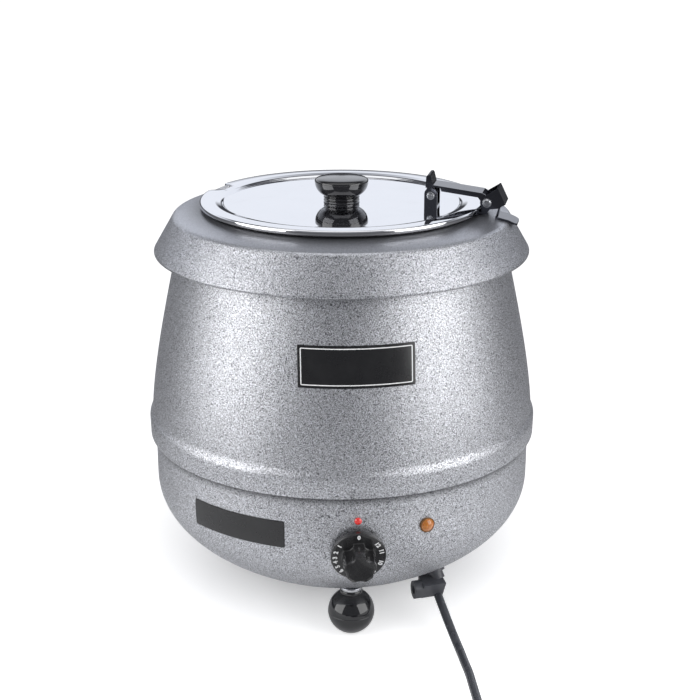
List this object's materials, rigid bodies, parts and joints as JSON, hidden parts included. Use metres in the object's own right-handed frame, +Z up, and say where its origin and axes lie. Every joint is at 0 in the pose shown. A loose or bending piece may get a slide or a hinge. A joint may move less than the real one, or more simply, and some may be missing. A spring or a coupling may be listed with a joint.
{
  "type": "soup kettle",
  "caption": "Electric soup kettle: hammered-paint pot-bellied shell on ball feet, lift-out pot under a hinged mirror-steel lid, control dial, lamps and mains cord.",
  "frame": {"origin": "point on the kettle's vertical axis in the plane the ball feet stand on", "axes": "+Z up along the kettle's axis, -Y towards the front with the dial, +X to the right seen from the front"},
  "size_m": [0.342, 0.538, 0.3872],
  "materials": {
    "hammertone": "textured satin",
    "underside_steel": "satin",
    "stainless": "satin",
    "mirror_steel": "polished",
    "plated_steel": "polished",
    "knob_black": "gloss",
    "dial_black": "semi-gloss",
    "element_steel": "heat-tinted",
    "thermostat_case": "matte",
    "copper": "satin",
    "ceramic": "matte",
    "brass": "satin",
    "wire_insulation": "satin",
    "red_lens": "gloss",
    "lamp_white": "matte",
    "amber_lens": "gloss",
    "lamp_dark": "semi-gloss",
    "plate_black": "semi-gloss",
    "gland_plastic": "satin",
    "cord_rubber": "satin"
  },
  "bodies": {
    "kettle": {"lower_bowl": "hammertone", "upper_shell": "hammertone", "collar": "hammertone", "water_pan": "stainless", "base_cover": "underside_steel", "tie_rods": "plated_steel", "tie_nuts": "plated_steel", "foot_front": "knob_black", "foot_rear_right": "knob_black", "foot_rear_left": "knob_black", "foot_ferrules": "plated_steel", "foot_studs": "plated_steel", "foot_nuts": "plated_steel", "heating_element": "element_steel", "element_clamps": "plated_steel", "clamp_studs": "plated_steel", "thermostat_body": "thermostat_case", "thermostat_screws": "plated_steel", "capillary": "copper", "bulb_clip": "plated_steel", "thermal_cutout": "ceramic", "terminal_block": "ceramic", "earth_stud": "brass", "wiring": "wire_insulation", "marker_lens": "red_lens", "marker_body": "lamp_white", "pilot_lens": "amber_lens", "pilot_bezel": "lamp_dark", "pilot_body": "lamp_dark", "pilot_nut": "plated_steel", "name_plate": "plate_black", "label_plate": "plate_black", "cord_gland": "gland_plastic", "gland_nut": "gland_plastic", "gland_screw": "plated_steel", "cord_sleeve": "cord_rubber", "mains_cord": "cord_rubber", "cord_coil": "cord_rubber", "cord_tail": "cord_rubber", "plug_body": "cord_rubber", "plug_pins": "brass"},
    "pot": {"inner_pot": "stainless", "hinge_bracket": "mirror_steel", "arm_pin": "mirror_steel", "arm_pin_nut": "mirror_steel"},
    "arm": {"hinge_arm": "mirror_steel"},
    "lid": {"lid": "mirror_steel", "lid_knob": "knob_black", "knob_washer": "mirror_steel", "knob_screw": "mirror_steel", "lid_bracket": "mirror_steel", "bracket_rivets": "mirror_steel", "lid_pin": "mirror_steel", "lid_pin_nut": "mirror_steel"},
    "dial": {"dial": "dial_black", "thermostat_shaft": "plated_steel"}
  },
  "joints": [
    {"name": "pot_lift", "type": "slide", "parent": "kettle", "child": "pot", "axis": [0, 0, 1], "range_m": [0, 0.262]},
    {"name": "lid_opening", "type": "hinge", "parent": "pot", "child": "arm", "pos_m": [0.12126, -0.03569, 0.366], "axis": [0.2823, 0.9593, 0], "range_deg": [0, 83]},
    {"name": "lid_tilt", "type": "hinge", "parent": "arm", "child": "lid", "pos_m": [0.07521, -0.02214, 0.3692], "axis": [0.2823, 0.9593, 0], "range_deg": [-1.5, 0]},
    {"name": "dial_turn", "type": "hinge", "parent": "kettle", "child": "dial", "pos_m": [0, -0.16517, 0.107], "axis": [0, 0.982, 0.1887], "range_deg": [0, 307]}
  ],
  "couplings": [
    {"joint": "lid_tilt", "follows": "lid_opening", "ratio": -0.015}
  ]
}
